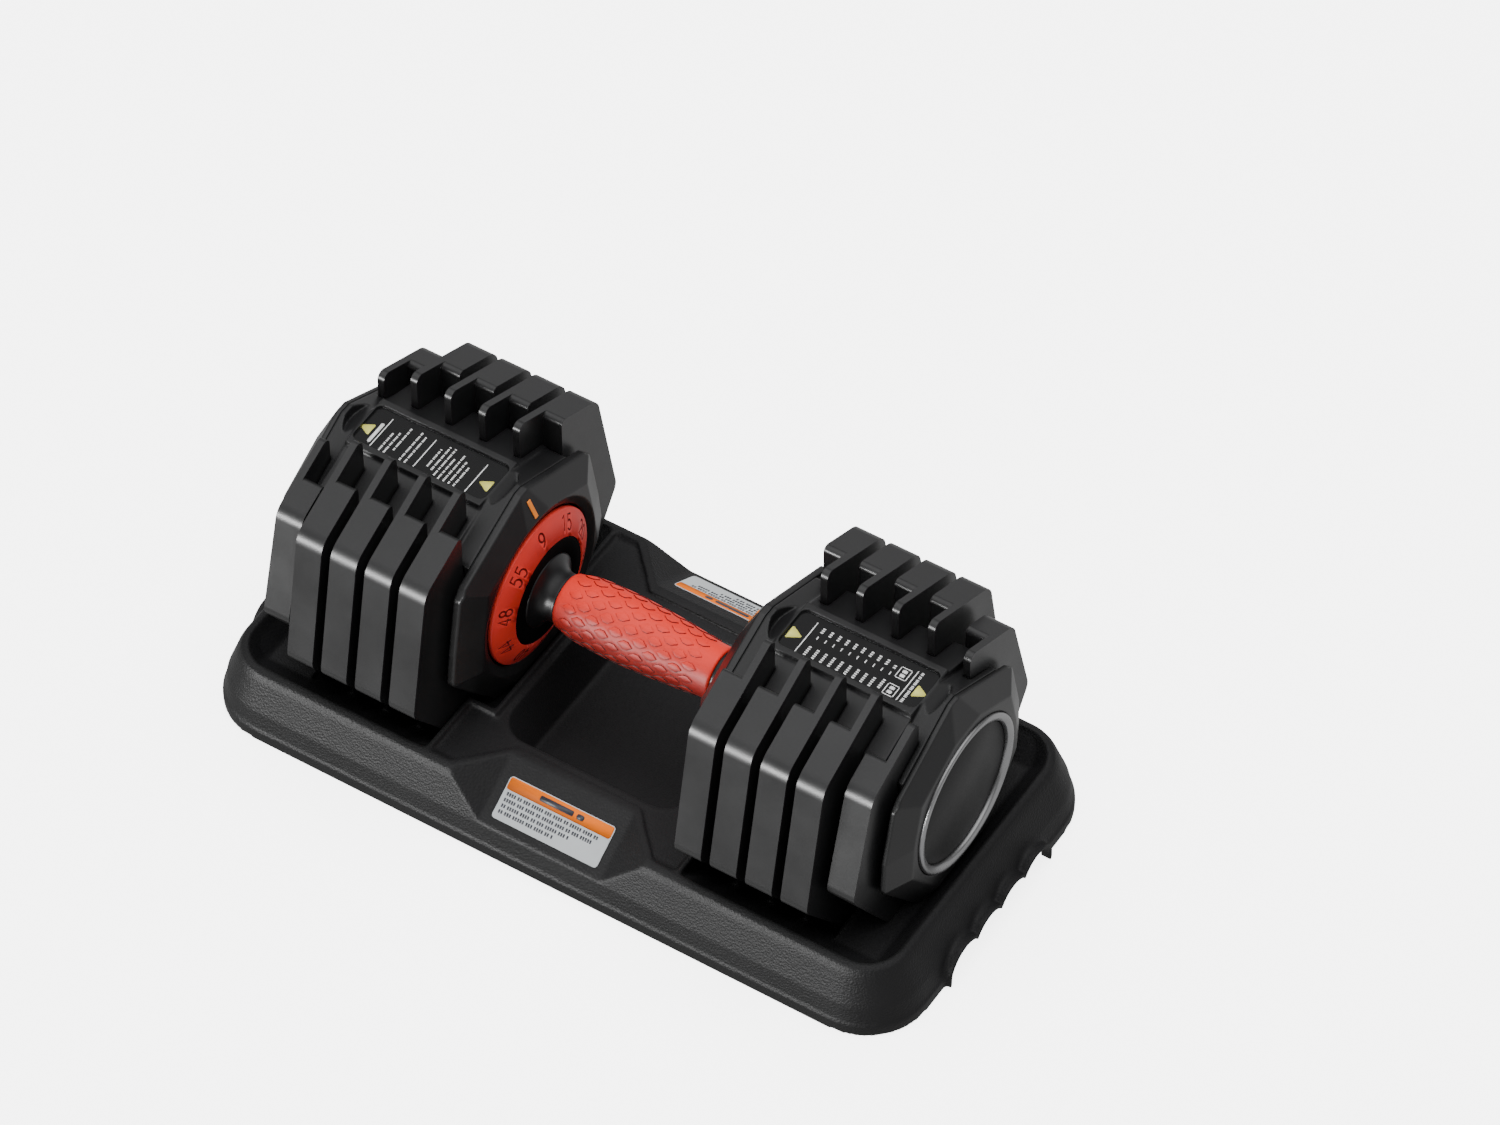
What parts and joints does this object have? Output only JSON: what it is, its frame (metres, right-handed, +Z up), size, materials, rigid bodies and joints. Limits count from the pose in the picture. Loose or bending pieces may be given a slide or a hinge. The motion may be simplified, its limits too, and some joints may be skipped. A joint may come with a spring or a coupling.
{
  "type": "adjustable dumbbell with tray",
  "caption": "Adjustable dumbbell with U-shaped weight plates, red turning grip and number dials, resting in a moulded black storage tray.",
  "frame": {"origin": "middle of the tray's underside, on the surface it stands on", "axes": "+X along the handle, +Y from the front of the tray to the back, +Z up"},
  "size_m": [0.4368, 0.21, 0.1751],
  "materials": {
    "tray_plastic": "fine leather-grain moulding",
    "foot_rubber": "matt",
    "panel_label_stock": "printed vinyl, orange band over pale grey",
    "plate_plastic": "satin moulded cover",
    "core_iron": "rough, hidden inside the cover",
    "housing_plastic": "satin black",
    "bridge_plastic": "satin black",
    "end_ring_trim": "satin grey ring",
    "end_disc_plastic": "fine grain",
    "top_label_film": "printed film",
    "index_orange": "painted",
    "rod_steel": "zinc plated",
    "bush_plastic": "plain",
    "grip_rubber": "moulded with a scale pattern",
    "tube_steel": "drawn tube",
    "collar_plastic": "satin black",
    "dial_red": "satin, numbers sunk in",
    "disc_steel": "stamped"
  },
  "bodies": {
    "tray": {"tray_shell": "tray_plastic", "tray_feet": "foot_rubber", "tray_labels": "panel_label_stock"},
    "left_weight_1": {"left_plate_1": "plate_plastic", "left_core_1": "core_iron"},
    "left_weight_2": {"left_plate_2": "plate_plastic", "left_core_2": "core_iron"},
    "left_weight_3": {"left_plate_3": "plate_plastic", "left_core_3": "core_iron"},
    "left_weight_4": {"left_plate_4": "plate_plastic", "left_core_4": "core_iron"},
    "left_weight_5": {"left_plate_5": "plate_plastic", "left_core_5": "core_iron"},
    "right_weight_1": {"right_plate_1": "plate_plastic", "right_core_1": "core_iron"},
    "right_weight_2": {"right_plate_2": "plate_plastic", "right_core_2": "core_iron"},
    "right_weight_3": {"right_plate_3": "plate_plastic", "right_core_3": "core_iron"},
    "right_weight_4": {"right_plate_4": "plate_plastic", "right_core_4": "core_iron"},
    "right_weight_5": {"right_plate_5": "plate_plastic", "right_core_5": "core_iron"},
    "carrier": {"left_housing": "housing_plastic", "left_bridge": "bridge_plastic", "left_end_cap": "housing_plastic", "left_end_ring": "end_ring_trim", "left_end_disc": "end_disc_plastic", "left_top_label": "top_label_film", "right_housing": "housing_plastic", "right_bridge": "bridge_plastic", "right_end_cap": "housing_plastic", "right_end_ring": "end_ring_trim", "right_end_disc": "end_disc_plastic", "right_top_label": "top_label_film", "index_marks": "index_orange", "centre_rod": "rod_steel", "rod_nuts": "rod_steel", "tube_bushes": "bush_plastic", "cap_screws": "rod_steel"},
    "handle": {"grip": "grip_rubber", "handle_tube": "tube_steel", "left_collar": "collar_plastic", "left_dial_ring": "dial_red", "left_dial_hub": "collar_plastic", "left_selector_discs": "disc_steel", "right_collar": "collar_plastic", "right_dial_ring": "dial_red", "right_dial_hub": "collar_plastic", "right_selector_discs": "disc_steel", "disc_spacers": "bush_plastic"}
  },
  "joints": [
    {"name": "left_weight_1_lift", "type": "slide", "parent": "tray", "child": "left_weight_1", "axis": [0, 0, 1], "range_m": [0, 0.2]},
    {"name": "left_weight_2_lift", "type": "slide", "parent": "tray", "child": "left_weight_2", "axis": [0, 0, 1], "range_m": [0, 0.2]},
    {"name": "left_weight_3_lift", "type": "slide", "parent": "tray", "child": "left_weight_3", "axis": [0, 0, 1], "range_m": [0, 0.2]},
    {"name": "left_weight_4_lift", "type": "slide", "parent": "tray", "child": "left_weight_4", "axis": [0, 0, 1], "range_m": [0, 0.2]},
    {"name": "left_weight_5_lift", "type": "slide", "parent": "tray", "child": "left_weight_5", "axis": [0, 0, 1], "range_m": [0, 0.2]},
    {"name": "right_weight_1_lift", "type": "slide", "parent": "tray", "child": "right_weight_1", "axis": [0, 0, 1], "range_m": [0, 0.2]},
    {"name": "right_weight_2_lift", "type": "slide", "parent": "tray", "child": "right_weight_2", "axis": [0, 0, 1], "range_m": [0, 0.2]},
    {"name": "right_weight_3_lift", "type": "slide", "parent": "tray", "child": "right_weight_3", "axis": [0, 0, 1], "range_m": [0, 0.2]},
    {"name": "right_weight_4_lift", "type": "slide", "parent": "tray", "child": "right_weight_4", "axis": [0, 0, 1], "range_m": [0, 0.2]},
    {"name": "right_weight_5_lift", "type": "slide", "parent": "tray", "child": "right_weight_5", "axis": [0, 0, 1], "range_m": [0, 0.2]},
    {"name": "carrier_lift", "type": "slide", "parent": "left_weight_1", "child": "carrier", "axis": [0, 0, 1], "range_m": [0, 0.2]},
    {"name": "dial_turn", "type": "hinge", "parent": "carrier", "child": "handle", "pos_m": [0, 0, 0.09], "axis": [1, 0, 0], "range_deg": [0, 324]}
  ],
  "couplings": [
    {"joint": "left_weight_2_lift", "follows": "left_weight_1_lift", "ratio": 1},
    {"joint": "left_weight_3_lift", "follows": "left_weight_1_lift", "ratio": 1},
    {"joint": "left_weight_4_lift", "follows": "left_weight_1_lift", "ratio": 1},
    {"joint": "left_weight_5_lift", "follows": "left_weight_1_lift", "ratio": 1},
    {"joint": "right_weight_1_lift", "follows": "left_weight_1_lift", "ratio": 1},
    {"joint": "right_weight_2_lift", "follows": "left_weight_1_lift", "ratio": 1},
    {"joint": "right_weight_3_lift", "follows": "left_weight_1_lift", "ratio": 1},
    {"joint": "right_weight_4_lift", "follows": "left_weight_1_lift", "ratio": 1},
    {"joint": "right_weight_5_lift", "follows": "left_weight_1_lift", "ratio": 1}
  ]
}
